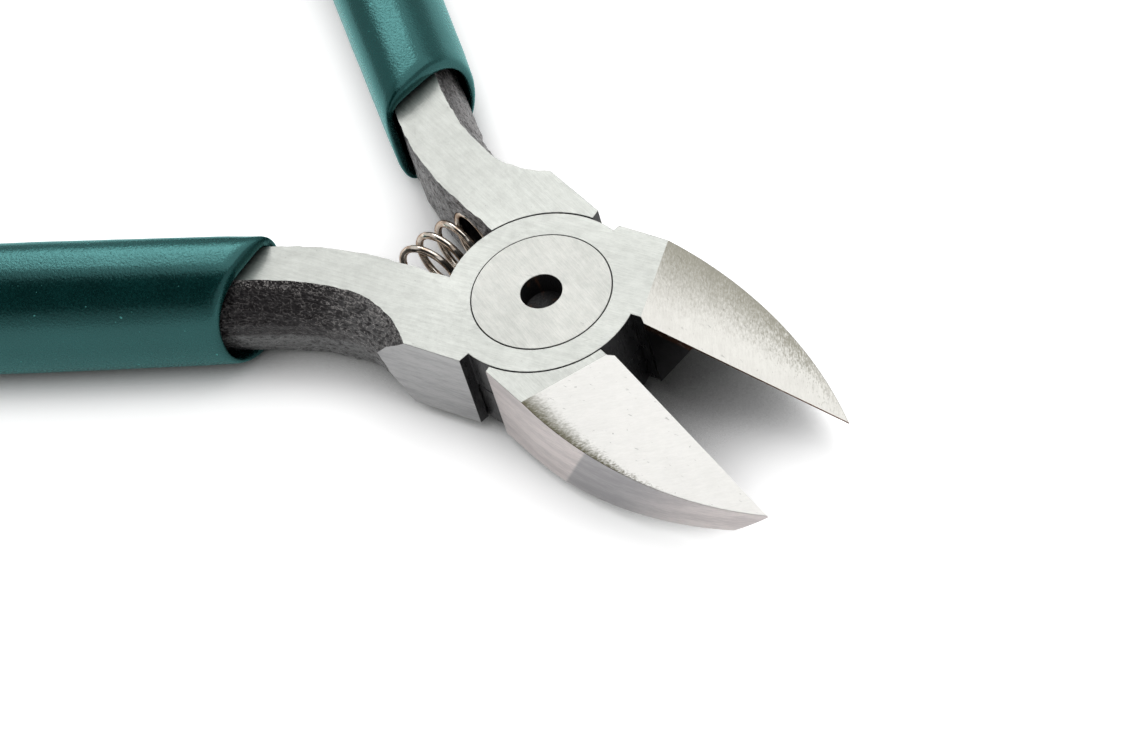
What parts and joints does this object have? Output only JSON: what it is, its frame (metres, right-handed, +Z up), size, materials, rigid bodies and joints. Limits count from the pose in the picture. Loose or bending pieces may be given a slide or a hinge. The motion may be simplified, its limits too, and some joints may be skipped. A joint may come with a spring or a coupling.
{
  "type": "electronics side cutters",
  "caption": "Spring-opened side cutters with slanted cutting jaws, a lap joint on a flush rivet, a coil spring between the necks and dipped sleeves on bowed handles.",
  "frame": {"origin": "on the pivot axis, on the rivet's underside, which is flush with the joint's underside", "axes": "+X runs from the pivot towards the jaw tips along the line halfway between the jaws, +Y runs towards the top half's jaw, +Z points up out of the rivet's face with the centre hole"},
  "size_m": [0.1239, 0.0862, 0.0113],
  "materials": {
    "top_half_steel": "ground faces, black forging scale on the neck's flanks",
    "bottom_half_steel": "ground faces, black forging scale on the neck's flanks",
    "rivet_steel": "ground flush with the joint",
    "spring_wire": "bright plated wire",
    "dipped_vinyl": "satin, slightly pebbled deep teal"
  },
  "bodies": {
    "top_half": {"top_lap_half": "top_half_steel", "right_grip": "dipped_vinyl", "pivot_rivet": "rivet_steel", "return_spring": "spring_wire"},
    "bottom_half": {"bottom_lap_half": "bottom_half_steel", "left_grip": "dipped_vinyl"}
  },
  "joints": [
    {"name": "pivot", "type": "hinge", "parent": "top_half", "child": "bottom_half", "pos_m": [0, 0, 0], "axis": [0, 0, 1], "range_deg": [-15, 22.5], "stiffness_Nm_per_rad": 0.45, "deforming": ["return_spring"]}
  ]
}
